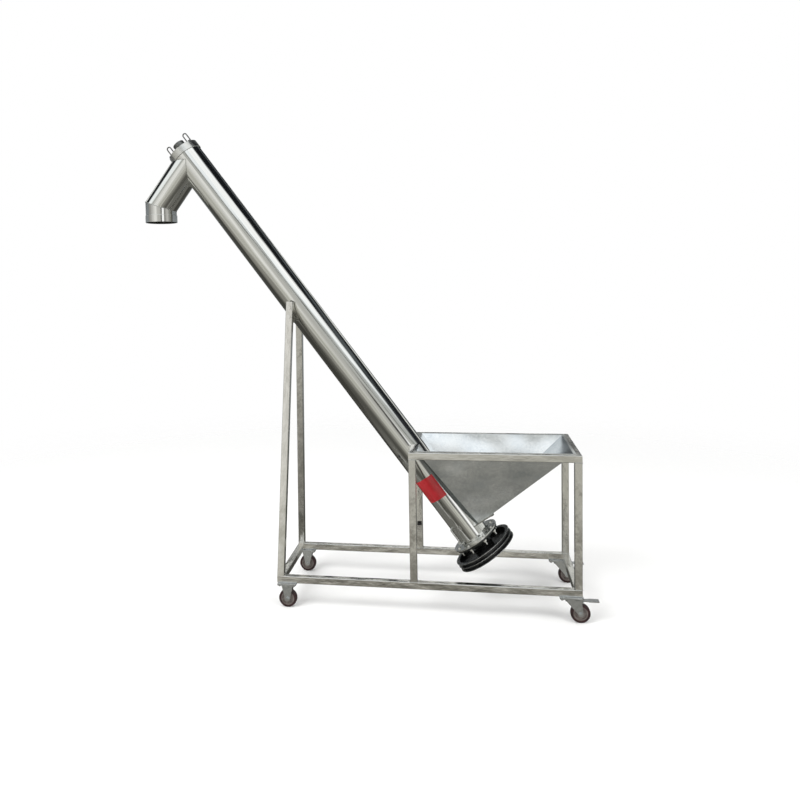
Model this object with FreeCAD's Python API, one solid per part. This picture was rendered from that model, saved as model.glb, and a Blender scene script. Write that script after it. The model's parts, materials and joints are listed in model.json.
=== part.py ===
import FreeCAD, Part
import math
import os

# Mobile grain auger: an inclined screw conveyor on a wheeled stainless frame, with a feed hopper.
# Millimetres. While it is drawn, X runs along the base frame from its low-rail left end, Y across
# it from its middle plane, and Z up from the floor. The last step moves the whole machine so that
# the origin lies on the floor under the middle of its outline.

Vector = FreeCAD.Vector
ALONG_X = Vector(1, 0, 0)
ALONG_Y = Vector(0, 1, 0)
ALONG_Z = Vector(0, 0, 1)

# Square stock of the frame
stock = 38.0
stock_wall = 2.0
stock_corner = 3.5

# Overall sizes. Heights that end in _rise are above the underside of the base frame.
base_length = 1630.0
base_width = 570.0
rim_rise = 744.0

# Barrel, the round tube that holds the screw. Its foot is the middle of its lower end.
barrel_od = 180.0
barrel_wall = 2.0
barrel_length = 2789.0
incline = 53.4
foot_x = 1090.0
foot_rise = 209.0
weld_gap = 0.1

# Top end of the barrel
collar_wall = 5.0
collar_length = 36.0
end_plate_thickness = 6.0
end_plate_bolts = 6
eye_rod = 3.5
eye_width = 30.0
eye_height = 76.0
eye_offset = 62.0
top_housing_od = 70.0
top_housing_height = 50.0

# Discharge branch, which slopes down from the barrel, and the upright spout at its end
branch_top_gap = 7.0
branch_slope = 52.4
branch_run = 324.0
spout_drop = 94.0
ring_length = 40.0
ring_wall = 3.0
ring_step = 1.5
ring_gap = 0.3

# Lower flange, bearing housing and studs
flange_margin = 50.0
flange_thickness = 8.0
housing_plate = 12.0
housing_boss_od = 110.0
housing_boss = 36.0
stud_count = 8
stud_r = 6.0
stud_reach = 30.0
stud_head = 5.0
stud_clearance = 0.4
nut_flats = 19.0
nut_height = 10.0

# Screw
shaft_od = 60.0
shaft_wall = 5.0
lower_journal_r = 20.0
upper_journal_r = 17.5
running_gap = 0.05
flight_clearance = 5.0
flight_thickness = 3.0
flight_pitch = 160.0
flight_turns = 16.5
flight_start = 22.0

# Belt pulley
pulley_od = 355.0
pulley_width = 47.0
pulley_gap = 59.0
pulley_rim = 20.0
pulley_web = 10.0
pulley_hub_od = 120.0
groove_top = 17.0
groove_bottom = 9.0
groove_depth = 14.0
groove_rib = 5.0
bush_wall = 22.0

# Hopper
sheet = 1.5
hopper_sink = 20.0
post_gap = 4.0
outlet_rise = 74.0
outlet_depth = 89.0
outlet_half_width = 75.0
hopper_lip = 12.0
hopper_left_lip = 10.0
wall_overrun = 0.1
wedge_reach = 1.3
inlet_length = 300.0
outlet_plate = 5.0
outlet_plate_margin = 14.0
knob_r = 11.0
knob_height = 18.0

# Support legs, one each side of the barrel
leg_top_rise = 1556.0
leg_top_back = 17.0
leg_standoff = 7.0
bracket_length = 110.0
bracket_width = 30.0
leg_bolt_r = 6.0
leg_bolt_gap = 0.2
leg_bolt_places = (35.0, 85.0)

# Label, a thin wrap on the barrel's lower front
label_thickness = 0.3
label_gap = 3.0
label_length = 141.0
label_from = -80.0
label_to = 19.0

# Clean-out door in the barrel's underside, hinged at the back
door_clear = 1.5
door_length = 284.0
door_half_angle = 52.3
door_gap = 0.5
hinge_standoff = 5.5
knuckle_r = 4.5
knuckle_length = 20.0
hinge_pin_r = 2.0
hinge_inset = 30.0
side_gap = 0.3
handle_rod = 3.5
handle_length = 110.0
handle_height = 20.0
handle_rise = 20.0
handle_angle = 40.0
catch_length = 48.0
catch_width = 30.0
catch_thickness = 2.0
catch_rise = 92.0
catch_lap = 36.0

# Casters
wheel_od = 100.0
wheel_width = 32.0
hub_r = 37.0
hub_boss_r = 14.0
hub_recess = 8.0
axle_r = 6.0
fork_gap = 38.0
fork_sheet = 3.0
fork_eye_r = 14.0
caster_clearance = 38.0
pad_thickness = 4.0
caster_plate = 3.0
plate_width = 80.0
rigid_plate_length = 105.0
rigid_x = 56.0
swivel_plate_length = 120.0
swivel_inset = 56.0
swivel_offset = 46.0
kingpin_r = 7.0
race_r = 32.0
race_height = 7.0
bridge_thickness = 7.0
caster_stud_r = 4.0
caster_nut_flats = 13.0
caster_stud_inset = 12.0

# Brake pedals of the swivel casters
pedal_pivot_x = 38.0
pedal_pivot_drop = 23.0
pedal_reach = 139.0
pedal_sheet = 4.0
pedal_boss_r = 6.5
pedal_pin_r = 3.0
pedal_tread = 40.0

# Sizes that follow
barrel_r = barrel_od / 2
half_width = base_width / 2
base_z = wheel_od + caster_clearance
base_top = base_z + stock
rim_z = base_z + rim_rise
foot_z = base_z + foot_rise
leg_top_z = base_z + leg_top_rise
slope = math.radians(incline)
branch_turn = math.radians(180.0 - incline - branch_slope)
branch_drop = branch_top_gap + barrel_r / math.sin(branch_turn) - barrel_r / math.tan(branch_turn)
flange_r = barrel_r + flange_margin
stud_circle_r = barrel_r + flange_margin * 0.55
hopper_plane = barrel_r - hopper_sink
flight_r = barrel_r - barrel_wall - flight_clearance
housing_end = -housing_plate - housing_boss
pulley_top = -pulley_gap
pulley_bottom = pulley_top - pulley_width
door_start = flange_thickness + stud_head + door_clear
label_start = door_start + door_length + label_gap
swivel_x = base_length - swivel_inset
rail_y = half_width - stock / 2


def barrel_point(rise, up=0.0, across=0.0):
    """Point at `rise` along the barrel from its foot, `up` from its axis on the upper side."""
    x = foot_x - rise * math.cos(slope) + up * math.sin(slope)
    z = foot_z + rise * math.sin(slope) + up * math.cos(slope)
    return Vector(x, across, z)


def on_barrel(shape):
    """Move a shape drawn with +Z up the barrel, +X on its upper side and +Y across to its place."""
    turn = FreeCAD.Rotation(ALONG_Y, incline - 90.0)
    shape.Placement = FreeCAD.Placement(barrel_point(0), turn).multiply(shape.Placement)
    return shape


def rod(radius, start, end):
    """Solid cylinder from one point to another."""
    run = end - start
    return Part.makeCylinder(radius, run.Length, start, run)


def pipe(outer_r, inner_r, start, end):
    """Hollow cylinder from one point to another."""
    return rod(outer_r, start, end).cut(rod(inner_r, start, end))


def upright(radius, low, high, x=0.0, y=0.0):
    """Solid cylinder along Z between two heights."""
    return rod(radius, Vector(x, y, low), Vector(x, y, high))


def ring(outer_r, inner_r, low, high):
    """Hollow cylinder about Z between two heights."""
    return upright(outer_r, low, high).cut(upright(inner_r, low, high))


def prism(points, run):
    """Flat polygon pushed along a vector."""
    return Part.Face(Part.makePolygon(points + points[:1])).extrude(run)


def hexagon(flats, start, run):
    """Hexagonal bar from a point, along a vector."""
    corner = flats / math.sqrt(3)
    points = [Vector(corner * math.cos(k * math.pi / 3), corner * math.sin(k * math.pi / 3), 0)
              for k in range(6)]
    bar = prism(points, Vector(0, 0, run.Length))
    bar.Placement = FreeCAD.Placement(start, FreeCAD.Rotation(ALONG_Z, run))
    return bar


def half_space(point, normal, size=6000.0):
    """Large block that fills the side of a plane that its normal points to."""
    block = Part.makeBox(size, size, size, Vector(-size / 2, -size / 2, 0))
    block.Placement = FreeCAD.Placement(point, FreeCAD.Rotation(ALONG_Z, normal))
    return block


def edges_along(shape, direction):
    """Straight edges of a shape that run in one direction."""
    straight = [edge for edge in shape.Edges if edge.Curve.TypeId == "Part::GeomLine"]
    return [edge for edge in straight if abs(edge.Curve.Direction.dot(direction)) > 0.999]


def join(shapes):
    """One solid out of shapes that touch or cross."""
    whole = shapes[0]
    for shape in shapes[1:]:
        whole = whole.fuse(shape)
    return whole.removeSplitter()


def group(shapes):
    """Separate solids kept together in one node."""
    return Part.makeCompound([solid for shape in shapes for solid in shape.Solids])


def around(count, radius, first_angle=0.0):
    """Evenly spaced points on a circle about Z."""
    angles = [math.radians(first_angle + 360.0 * k / count) for k in range(count)]
    return [Vector(radius * math.cos(angle), radius * math.sin(angle), 0) for angle in angles]


# Square tube frame

def square_tube(start, end):
    """Square tube from one point to another, its middle on the line between them."""
    run = end - start
    inside = stock - 2 * stock_wall
    outer = Part.makeBox(stock, stock, run.Length, Vector(-stock / 2, -stock / 2, 0))
    inner = Part.makeBox(inside, inside, run.Length, Vector(-inside / 2, -inside / 2, 0))
    outer = outer.makeFillet(stock_corner, edges_along(outer, ALONG_Z))
    inner = inner.makeFillet(stock_corner - stock_wall, edges_along(inner, ALONG_Z))
    tube = outer.cut(inner)
    tube.Placement = FreeCAD.Placement(start, FreeCAD.Rotation(ALONG_Z, run))
    return tube


def mitred_frame(left, right, low):
    """Front, right, rear and left tubes of a rectangle, mitred at its corners."""
    outer = [Vector(left, -half_width, low), Vector(right, -half_width, low),
             Vector(right, half_width, low), Vector(left, half_width, low)]
    inner = [Vector(left + stock, stock - half_width, low),
             Vector(right - stock, stock - half_width, low),
             Vector(right - stock, half_width - stock, low),
             Vector(left + stock, half_width - stock, low)]
    tubes = []
    for k in range(4):
        a, b = outer[k], outer[(k + 1) % 4]
        inward = ALONG_Z.cross(b - a).normalize() * (stock / 2) + Vector(0, 0, stock / 2)
        outline = prism([a, b, inner[(k + 1) % 4], inner[k]], Vector(0, 0, stock))
        tubes.append(square_tube(a + inward, b + inward).common(outline))
    return tubes


def leg_axis(side):
    """Foot and top of a support leg; side is -1 at the front and 1 at the back."""
    beside_barrel = barrel_r + leg_standoff + stock / 2
    axis_x = foot_x - (leg_top_z - foot_z) / math.tan(slope)
    foot = Vector(stock / 2, side * rail_y, base_top)
    top = Vector(axis_x - leg_top_back, side * beside_barrel, leg_top_z)
    return foot, top


def leg_frame(side, drop):
    """Point on a leg's axis below its top, and the unit vector from there towards the barrel."""
    foot, top = leg_axis(side)
    run = (top - foot).normalize()
    inward = FreeCAD.Rotation(ALONG_Z, run).multVec(Vector(0, -side, 0))
    return top - run * drop, inward


def leg_bolt(side, drop):
    """Hexagon bolt through a leg into its bracket."""
    middle, inward = leg_frame(side, drop)
    outside = middle - inward * (stock / 2)
    head = hexagon(nut_flats, outside, inward * -8.0)
    return join([rod(leg_bolt_r, outside, middle + inward * (stock / 2 + 5.0)), head])


def leg_bolt_hole(side, drop):
    """Clearance hole for that bolt."""
    middle, inward = leg_frame(side, drop)
    depth = stock / 2 + 5.3
    return rod(leg_bolt_r + leg_bolt_gap, middle - inward * depth, middle + inward * depth)


def support_leg(side):
    """Square tube from a base corner to the side of the barrel, drilled for its bolts."""
    foot, top = leg_axis(side)
    below = foot - (top - foot).normalize() * stock
    leg = square_tube(below, top).common(half_space(foot, ALONG_Z))
    for drop in leg_bolt_places:
        leg = leg.cut(leg_bolt_hole(side, drop))
    return leg


def leg_bracket(side):
    """Saddle block between a leg and the barrel, drilled for the bolts."""
    middle, inward = leg_frame(side, (leg_bolt_places[0] + leg_bolt_places[1]) / 2)
    foot, top = leg_axis(side)
    block = Part.makeBox(bracket_width, barrel_r / 2, bracket_length,
                         Vector(-bracket_width / 2, 0, -bracket_length / 2))
    if side > 0:
        block = block.mirror(Vector(0, 0, 0), ALONG_Y)
    block.Placement = FreeCAD.Placement(middle + inward * (stock / 2),
                                        FreeCAD.Rotation(ALONG_Z, top - foot))
    block = block.cut(barrel_envelope(weld_gap))
    for drop in leg_bolt_places:
        block = block.cut(leg_bolt_hole(side, drop))
    return block


# Barrel and its two ends

def barrel_envelope(gap):
    """Space that the barrel fills, grown by a gap."""
    return rod(barrel_r + gap, barrel_point(-10), barrel_point(barrel_length + 10))


def door_wedge(gap, inner_r, outer_r):
    """Sector of the barrel's underside that the clean-out door fills, grown by a gap at its edges."""
    edge_gap = math.degrees(gap / barrel_r)
    span = 2 * (door_half_angle + edge_gap)
    low = door_start - gap
    size = door_length + 2 * gap
    outer = Part.makeCylinder(outer_r, size, Vector(0, 0, low), ALONG_Z, span)
    inner = Part.makeCylinder(inner_r, size, Vector(0, 0, low), ALONG_Z, span)
    wedge = outer.cut(inner)
    wedge.rotate(Vector(0, 0, 0), ALONG_Z, 180.0 - span / 2)
    return wedge


def screw_barrel():
    """Long round tube, open to the hopper, the discharge branch and the clean-out door."""
    barrel = ring(barrel_r, barrel_r - barrel_wall, 0, barrel_length)
    inlet = Part.makeBox(barrel_r, barrel_od, inlet_length,
                         Vector(hopper_plane + sheet, -barrel_r, outlet_rise + 6.0))
    barrel = barrel.cut(inlet).cut(door_wedge(door_gap, barrel_r - 10.0, barrel_r + 10.0))
    return on_barrel(barrel).cut(branch_rod(barrel_r - barrel_wall))


def top_collar():
    """Stiffening band round the top of the barrel, notched for the branch."""
    band = ring(barrel_r + collar_wall, barrel_r + weld_gap, barrel_length - collar_length,
                barrel_length)
    return on_barrel(band).cut(branch_rod(barrel_r + weld_gap)).Solids[0]


def end_plate_bolt_points():
    return around(end_plate_bolts, barrel_r - 8.0, 30.0)


def top_end_plate():
    """Round plate that closes the top of the barrel and carries the upper bearing."""
    plate = ring(barrel_r + collar_wall, upper_journal_r + 0.5, barrel_length,
                 barrel_length + end_plate_thickness)
    return on_barrel(plate.makeFillet(1.5, [plate.Edges[0]]))


def top_bearing():
    """Closed bearing housing on the end plate."""
    seat = barrel_length + end_plate_thickness
    foot = upright(top_housing_od / 2 + 12.0, seat, seat + 5.0)
    body = upright(top_housing_od / 2, seat, seat + top_housing_height)
    body = body.makeFillet(3.0, [body.Edges[0]])
    bore = upright(upper_journal_r + running_gap, seat - 1.0, seat + top_housing_height - 5.0)
    return on_barrel(join([foot, body]).cut(bore))


def plate_bolts():
    """Hexagon heads round the end plate and on the bearing housing's foot."""
    seat = barrel_length + end_plate_thickness
    rim = [hexagon(nut_flats, point + Vector(0, 0, seat), Vector(0, 0, 7.0))
           for point in end_plate_bolt_points()]
    foot = [hexagon(8.0, point + Vector(0, 0, seat + 5.0), Vector(0, 0, 6.0))
            for point in around(4, top_housing_od / 2 + 7.0, 45.0)]
    return on_barrel(group(rim + foot))


def lifting_eye(up):
    """Bent round bar that stands on the end plate."""
    seat = barrel_length + end_plate_thickness
    bend = eye_width / 2 - eye_rod
    shoulder = seat + eye_height - eye_width / 2
    left, right = Vector(up - bend, 0, seat), Vector(up + bend, 0, seat)
    path = Part.Wire([
        Part.LineSegment(left, Vector(up - bend, 0, shoulder)).toShape(),
        Part.Arc(Vector(up - bend, 0, shoulder), Vector(up, 0, shoulder + bend),
                 Vector(up + bend, 0, shoulder)).toShape(),
        Part.LineSegment(Vector(up + bend, 0, shoulder), right).toShape()])
    section = Part.Wire(Part.makeCircle(eye_rod, left, ALONG_Z))
    return path.makePipeShell([section], True, False)


def lower_flange():
    """Ring welded round the barrel's foot, drilled for the studs."""
    plate = ring(flange_r, barrel_r + weld_gap, 0, flange_thickness)
    for point in around(stud_count, stud_circle_r, 22.5):
        plate = plate.cut(upright(stud_r + stud_clearance, -1, flange_thickness + 1, point.x, point.y))
    return on_barrel(plate)


def lower_bearing():
    """Flanged bearing housing that closes the barrel's foot."""
    plate = upright(flange_r - 6.0, -housing_plate, 0)
    boss = upright(housing_boss_od / 2, housing_end, -housing_plate)
    housing = join([plate, boss.makeFillet(4.0, [boss.Edges[2]])])
    housing = housing.cut(upright(lower_journal_r + running_gap, housing_end - 1, 1))
    for point in around(stud_count, stud_circle_r, 22.5):
        housing = housing.cut(upright(stud_r + stud_clearance, -housing_plate - 1, 1,
                                      point.x, point.y))
    return on_barrel(housing)


def flange_stud(point):
    """Long bolt with a low head on the flange and a nut under the bearing housing."""
    low = -housing_plate - stud_reach
    middle = Vector(point.x, point.y, 0)
    return join([upright(stud_r, low, flange_thickness, point.x, point.y),
                 hexagon(nut_flats, middle + Vector(0, 0, flange_thickness),
                         Vector(0, 0, stud_head)),
                 hexagon(nut_flats, middle + Vector(0, 0, -housing_plate),
                         Vector(0, 0, -nut_height))])


# Discharge branch and spout

branch_start = barrel_point(barrel_length - branch_drop)
branch_way = Vector(-math.cos(math.radians(branch_slope)), 0, -math.sin(math.radians(branch_slope)))
knee = branch_start + branch_way * branch_run
knee_normal = (branch_way - ALONG_Z).normalize()
mouth = knee - ALONG_Z * spout_drop
ring_outer_r = barrel_r - barrel_wall + ring_step + ring_wall


def branch_rod(radius):
    """Cylinder on the branch's axis, from the barrel's axis to well past the knee."""
    return rod(radius, branch_start, knee + branch_way * barrel_od)


def discharge_branch():
    """Sloping pipe, coped to the barrel and mitred at the knee."""
    elbow = branch_rod(barrel_r).cut(branch_rod(barrel_r - barrel_wall))
    elbow = elbow.cut(half_space(knee, knee_normal)).cut(barrel_envelope(weld_gap))
    return max(elbow.Solids, key=lambda solid: solid.Volume)


def discharge_spout():
    """Upright pipe below the knee: a mitred length, and a thicker, slightly wider end ring."""
    seam = mouth + ALONG_Z * ring_length
    end_ring = pipe(ring_outer_r, ring_outer_r - ring_wall, mouth, seam)
    mitred = pipe(barrel_r, barrel_r - barrel_wall, seam + ALONG_Z * ring_gap, knee + ALONG_Z * barrel_od)
    return group([end_ring, mitred.common(half_space(knee, knee_normal))])


# Screw and its drive

def screw_shaft():
    """Pipe with a solid journal at each end."""
    start, end = flight_start - 10.0, barrel_length - 10.0
    body = ring(shaft_od / 2, shaft_od / 2 - shaft_wall, start, end)
    plugs = [upright(shaft_od / 2 - shaft_wall, start, start + 60.0),
             upright(shaft_od / 2 - shaft_wall, end - 60.0, end)]
    tip = barrel_length + end_plate_thickness + top_housing_height - 5.5
    journals = [upright(lower_journal_r, pulley_bottom - 4.0, start),
                upright(upper_journal_r, end, tip)]
    return on_barrel(join([body] + plugs + journals))


def screw_flight():
    """Helical blade round the shaft, as one ribbon of constant pitch."""
    inner_r, outer_r = shaft_od / 2 + weld_gap, flight_r
    height = flight_pitch * flight_turns
    rails = {}
    for name, radius, lift in (("inner_low", inner_r, 0.0), ("outer_low", outer_r, 0.0),
                               ("inner_high", inner_r, flight_thickness),
                               ("outer_high", outer_r, flight_thickness)):
        rail = Part.makeHelix(flight_pitch, height, radius)
        rail.translate(Vector(0, 0, flight_start + lift))
        rails[name] = rail.Edges[0]
    faces = []
    for one, other in (("inner_low", "outer_low"), ("inner_high", "outer_high"),
                       ("inner_low", "inner_high"), ("outer_low", "outer_high")):
        faces.append(Part.makeRuledSurface(rails[one], rails[other]))
    for turn, low in ((0.0, flight_start), (flight_turns * 2 * math.pi, flight_start + height)):
        ray = Vector(math.cos(turn), math.sin(turn), 0)
        corners = [ray * inner_r + Vector(0, 0, low), ray * outer_r + Vector(0, 0, low),
                   ray * outer_r + Vector(0, 0, low + flight_thickness),
                   ray * inner_r + Vector(0, 0, low + flight_thickness)]
        faces.append(Part.Face(Part.makePolygon(corners + corners[:1])))
    shell = Part.makeShell(faces)
    shell.sewShape()
    return on_barrel(Part.makeSolid(shell))


def drive_pulley():
    """Two-groove belt pulley, dished towards the barrel."""
    land = (pulley_width - 2 * groove_top - groove_rib) / 2
    taper = (groove_top - groove_bottom) / 2
    outer_r, deep_r = pulley_od / 2, pulley_od / 2 - groove_depth
    outline = [(outer_r, pulley_bottom)]
    for low in (pulley_bottom + land, pulley_bottom + land + groove_top + groove_rib):
        outline += [(outer_r, low), (deep_r, low + taper),
                    (deep_r, low + groove_top - taper), (outer_r, low + groove_top)]
    rim_r = outer_r - pulley_rim
    hub_r_out = pulley_hub_od / 2
    bore_r = lower_journal_r + bush_wall + running_gap
    web_low = pulley_bottom + 8.0
    outline += [(outer_r, pulley_top), (rim_r, pulley_top), (rim_r, web_low + pulley_web),
                (hub_r_out, web_low + pulley_web), (hub_r_out, pulley_top + 5.0),
                (bore_r, pulley_top + 5.0), (bore_r, pulley_bottom), (hub_r_out, pulley_bottom),
                (hub_r_out, web_low), (rim_r, web_low), (rim_r, pulley_bottom)]
    points = [Vector(r, 0, z) for r, z in outline]
    face = Part.Face(Part.makePolygon(points + points[:1]))
    return on_barrel(face.revolve(Vector(0, 0, 0), ALONG_Z, 360.0))


def taper_bush():
    """Split bush between the pulley's hub and the shaft."""
    bush = ring(lower_journal_r + bush_wall, lower_journal_r + running_gap, pulley_bottom,
                pulley_top + 5.0)
    slot = Part.makeBox(barrel_od, 3.0, pulley_width, Vector(0, -1.5, pulley_bottom))
    return on_barrel(bush.cut(slot))


# Hopper

def hopper_corners():
    """Outside corners of the hopper: four at the rim and four at its outlet, front then back."""
    rim_left = foot_x + hopper_plane * math.sin(slope) \
        - (rim_z - foot_z - hopper_plane * math.cos(slope)) / math.tan(slope)
    rim_right = base_length - stock
    rim_half = half_width - stock
    near = barrel_point(outlet_rise, hopper_plane, 0)
    far = barrel_point(outlet_rise, hopper_plane + outlet_depth, 0)
    share = (far.z - near.z) / (rim_z - near.z)
    far_half = outlet_half_width + share * (rim_half - outlet_half_width)
    corners = {}
    for side, name in ((-1, "front"), (1, "back")):
        corners[name] = [Vector(rim_left, side * rim_half, rim_z),
                         Vector(rim_right, side * rim_half, rim_z),
                         Vector(far.x, side * far_half, far.z),
                         Vector(near.x, side * outlet_half_width, near.z)]
    return corners


corners = hopper_corners()
rim_left_x = corners["front"][0].x
post_x = rim_left_x - post_gap - stock


def hopper_block():
    """Solid outline of the hopper's outside."""
    front, back = corners["front"], corners["back"]
    faces = [front, back]
    faces += [[front[k], front[(k + 1) % 4], back[(k + 1) % 4], back[k]] for k in range(4)]
    return Part.makeSolid(Part.makeShell([Part.Face(Part.makePolygon(face + face[:1]))
                                          for face in faces]))


def hopper_outlines():
    """Outline of each of the hopper's four walls, run on past the rim and past the outlet."""
    ends = []
    for rim_left, rim_right, far, near in (corners["front"], corners["back"]):
        left_run = (rim_left - near) * wall_overrun
        right_run = (rim_right - far) * wall_overrun
        ends.append([rim_left + left_run, rim_right + right_run, far - right_run, near - left_run])
    front, back = ends
    return [front, back,
            [front[1], front[2], back[2], back[1]],
            [front[3], front[0], back[0], back[3]]]


def wall_wedge(outline):
    """Solid from the hopper's middle out through one wall, which parts that wall at its corners."""
    middle = hopper_block().CenterOfMass
    outer = [middle + (point - middle) * wedge_reach for point in outline]
    sides = [[middle, outer[k], outer[(k + 1) % 4]] for k in range(4)]
    return Part.makeSolid(Part.makeShell([Part.Face(Part.makePolygon(face + face[:1]))
                                          for face in sides + [outer]]))


def hopper():
    """Funnel of four sloping sheet walls with a folded lip, welded along their corners."""
    block = hopper_block()
    up_barrel = barrel_point(1) - barrel_point(0)
    rim_faces = [face for face in block.Faces if abs(face.CenterOfMass.z - rim_z) < 1.0]
    outlet_faces = [face for face in block.Faces
                    if abs((face.CenterOfMass - barrel_point(outlet_rise)).dot(up_barrel)) < 1.0]
    funnel = block.makeThickness(rim_faces + outlet_faces, -sheet, 0.001)
    rim_half = half_width - stock
    length = base_length - stock - rim_left_x
    lip_left = rim_left_x - hopper_left_lip
    outside = Part.makeBox(length + hopper_lip + hopper_left_lip, 2 * (rim_half + hopper_lip), sheet,
                           Vector(lip_left, -rim_half - hopper_lip, rim_z))
    inside = Part.makeBox(length - 2 * sheet, 2 * (rim_half - sheet), sheet,
                          Vector(rim_left_x + sheet, sheet - rim_half, rim_z))
    whole = join([funnel, outside.cut(inside)]).cut(barrel_envelope(weld_gap))
    return group([whole.common(wall_wedge(outline)) for outline in hopper_outlines()])


def outlet_outline(margin):
    """Outline of the plate below the hopper's outlet, in the barrel's frame."""
    near_half = corners["back"][3].y + margin
    far_half = corners["back"][2].y + margin
    low, high = hopper_plane - 2 * margin, hopper_plane + outlet_depth + margin
    return [(low, -near_half), (high, -far_half), (high, far_half), (low, near_half)]


def knob_points():
    """Middles of the two hand knobs under the outlet plate."""
    up = hopper_plane + outlet_depth - 4.0
    return [Vector(up, side * outlet_half_width * 0.55, outlet_rise - outlet_plate)
            for side in (-1, 1)]


def hopper_outlet_plate():
    """Plate that closes the hopper's low end and is coped round the barrel."""
    points = [Vector(x, y, outlet_rise - outlet_plate)
              for x, y in outlet_outline(outlet_plate_margin)]
    plate = on_barrel(prism(points, Vector(0, 0, outlet_plate)))
    return plate.cut(barrel_envelope(weld_gap)).cut(hopper_block())


def outlet_knob(point):
    """Round knob with a scalloped edge."""
    knob = rod(knob_r, point - ALONG_Z * knob_height, point)
    knob = knob.makeFillet(3.0, [edge for edge in knob.Edges if edge.BoundBox.ZMax < point.z - 1
                                 and edge.Curve.TypeId == "Part::GeomCircle"])
    for notch in around(6, knob_r + 1.5):
        knob = knob.cut(rod(3.0, point + notch - ALONG_Z * knob_height, point + notch - ALONG_Z * 5))
    return knob


# Label and clean-out door

def front_angle(below):
    """Angle about the barrel's axis of a place a given number of degrees below its front."""
    return -90.0 - below


def label():
    """Thin wrap on the lower front of the barrel."""
    span = label_to - label_from
    inner_r = barrel_r + weld_gap
    outer = Part.makeCylinder(inner_r + label_thickness, label_length,
                              Vector(0, 0, label_start), ALONG_Z, span)
    inner = Part.makeCylinder(inner_r, label_length, Vector(0, 0, label_start), ALONG_Z, span)
    wrap = outer.cut(inner)
    wrap.rotate(Vector(0, 0, 0), ALONG_Z, front_angle(-label_from))
    return on_barrel(wrap)


hinge_angle = 180.0 - door_half_angle
hinge_r = barrel_r + hinge_standoff
hinge_at = Vector(hinge_r * math.cos(math.radians(hinge_angle)),
                  hinge_r * math.sin(math.radians(hinge_angle)), 0)
hinge_lows = (door_start + hinge_inset, door_start + door_length - hinge_inset - 2 * knuckle_length)


def hinge_leaf(low, high, side, reach):
    """Knuckle with a short leaf that reaches the barrel's surface on one side of the hinge line."""
    knuckle = rod(knuckle_r, hinge_at + ALONG_Z * low, hinge_at + ALONG_Z * high)
    leaf = ring(hinge_r + 1.0, barrel_r + reach, low, high)
    sector = Part.makeCylinder(hinge_r + 5.0, high - low, Vector(0, 0, low), ALONG_Z, 10.0)
    sector.rotate(Vector(0, 0, 0), ALONG_Z, hinge_angle if side > 0 else hinge_angle - 10.0)
    return join([knuckle, leaf.common(sector)])


def door_hinge():
    """Fixed knuckles of the door's two hinges, each with its pin."""
    parts = []
    for low in hinge_lows:
        fixed = hinge_leaf(low, low + knuckle_length, -1, weld_gap)
        pin = rod(hinge_pin_r, hinge_at + ALONG_Z * low, hinge_at + ALONG_Z * (low + 2 * knuckle_length))
        parts.append(join([fixed, pin]))
    return on_barrel(group(parts))


def clean_out_door():
    """Curved panel flush with the barrel, with the moving knuckles of its hinges."""
    panel = door_wedge(0.0, barrel_r - barrel_wall, barrel_r)
    parts = [panel]
    for low in hinge_lows:
        start, end = low + knuckle_length + side_gap, low + 2 * knuckle_length
        moving = hinge_leaf(start, end, 1, -0.5)
        bore = rod(hinge_pin_r + running_gap, hinge_at + ALONG_Z * (start - 1),
                   hinge_at + ALONG_Z * (end + 1))
        parts.append(moving.cut(bore))
    return on_barrel(join(parts))


def tangent_frame(angle, rise):
    """Placement on the barrel's surface: +X outward, +Y round it, +Z up the barrel."""
    middle = Vector(barrel_r * math.cos(math.radians(angle)),
                    barrel_r * math.sin(math.radians(angle)), rise)
    return FreeCAD.Placement(middle, FreeCAD.Rotation(ALONG_Z, angle))


def door_handle():
    """Bent bar handle along the door."""
    half = handle_length / 2 - handle_rod
    top = handle_height - handle_rod
    bend = 10.0
    diagonal = bend * (1 - math.sqrt(0.5))
    foot_a, foot_b = Vector(0.2, 0, -half), Vector(0.2, 0, half)
    path = Part.Wire([
        Part.LineSegment(foot_a, Vector(top - bend, 0, -half)).toShape(),
        Part.Arc(Vector(top - bend, 0, -half), Vector(top - diagonal, 0, -half + diagonal),
                 Vector(top, 0, -half + bend)).toShape(),
        Part.LineSegment(Vector(top, 0, -half + bend), Vector(top, 0, half - bend)).toShape(),
        Part.Arc(Vector(top, 0, half - bend), Vector(top - diagonal, 0, half - diagonal),
                 Vector(top - bend, 0, half)).toShape(),
        Part.LineSegment(Vector(top - bend, 0, half), foot_b).toShape()])
    section = Part.Wire(Part.makeCircle(handle_rod, foot_a, ALONG_X))
    bar = path.makePipeShell([section], True, False)
    bar.Placement = tangent_frame(180.0 + handle_angle, handle_rise + handle_length / 2)
    return on_barrel(bar)


def door_catch():
    """Spring clip on the door that laps over the barrel beside its front seam."""
    inner_r = barrel_r + 2 * weld_gap
    span = math.degrees(catch_length / barrel_r)
    plate = ring(inner_r + catch_thickness, inner_r, catch_rise, catch_rise + catch_width)
    sector = Part.makeCylinder(barrel_r + 20.0, catch_width, Vector(0, 0, catch_rise), ALONG_Z, span)
    seam = 180.0 + door_half_angle
    sector.rotate(Vector(0, 0, 0), ALONG_Z,
                  seam + math.degrees(catch_lap / barrel_r) - span)
    return on_barrel(plate.common(sector))


# Casters

def caster_stud_places(length):
    """Corners of a caster plate's stud pattern."""
    dx, dy = length / 2 - caster_stud_inset, plate_width / 2 - caster_stud_inset
    return [(dx, dy), (dx, -dy), (-dx, dy), (-dx, -dy)]


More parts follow.
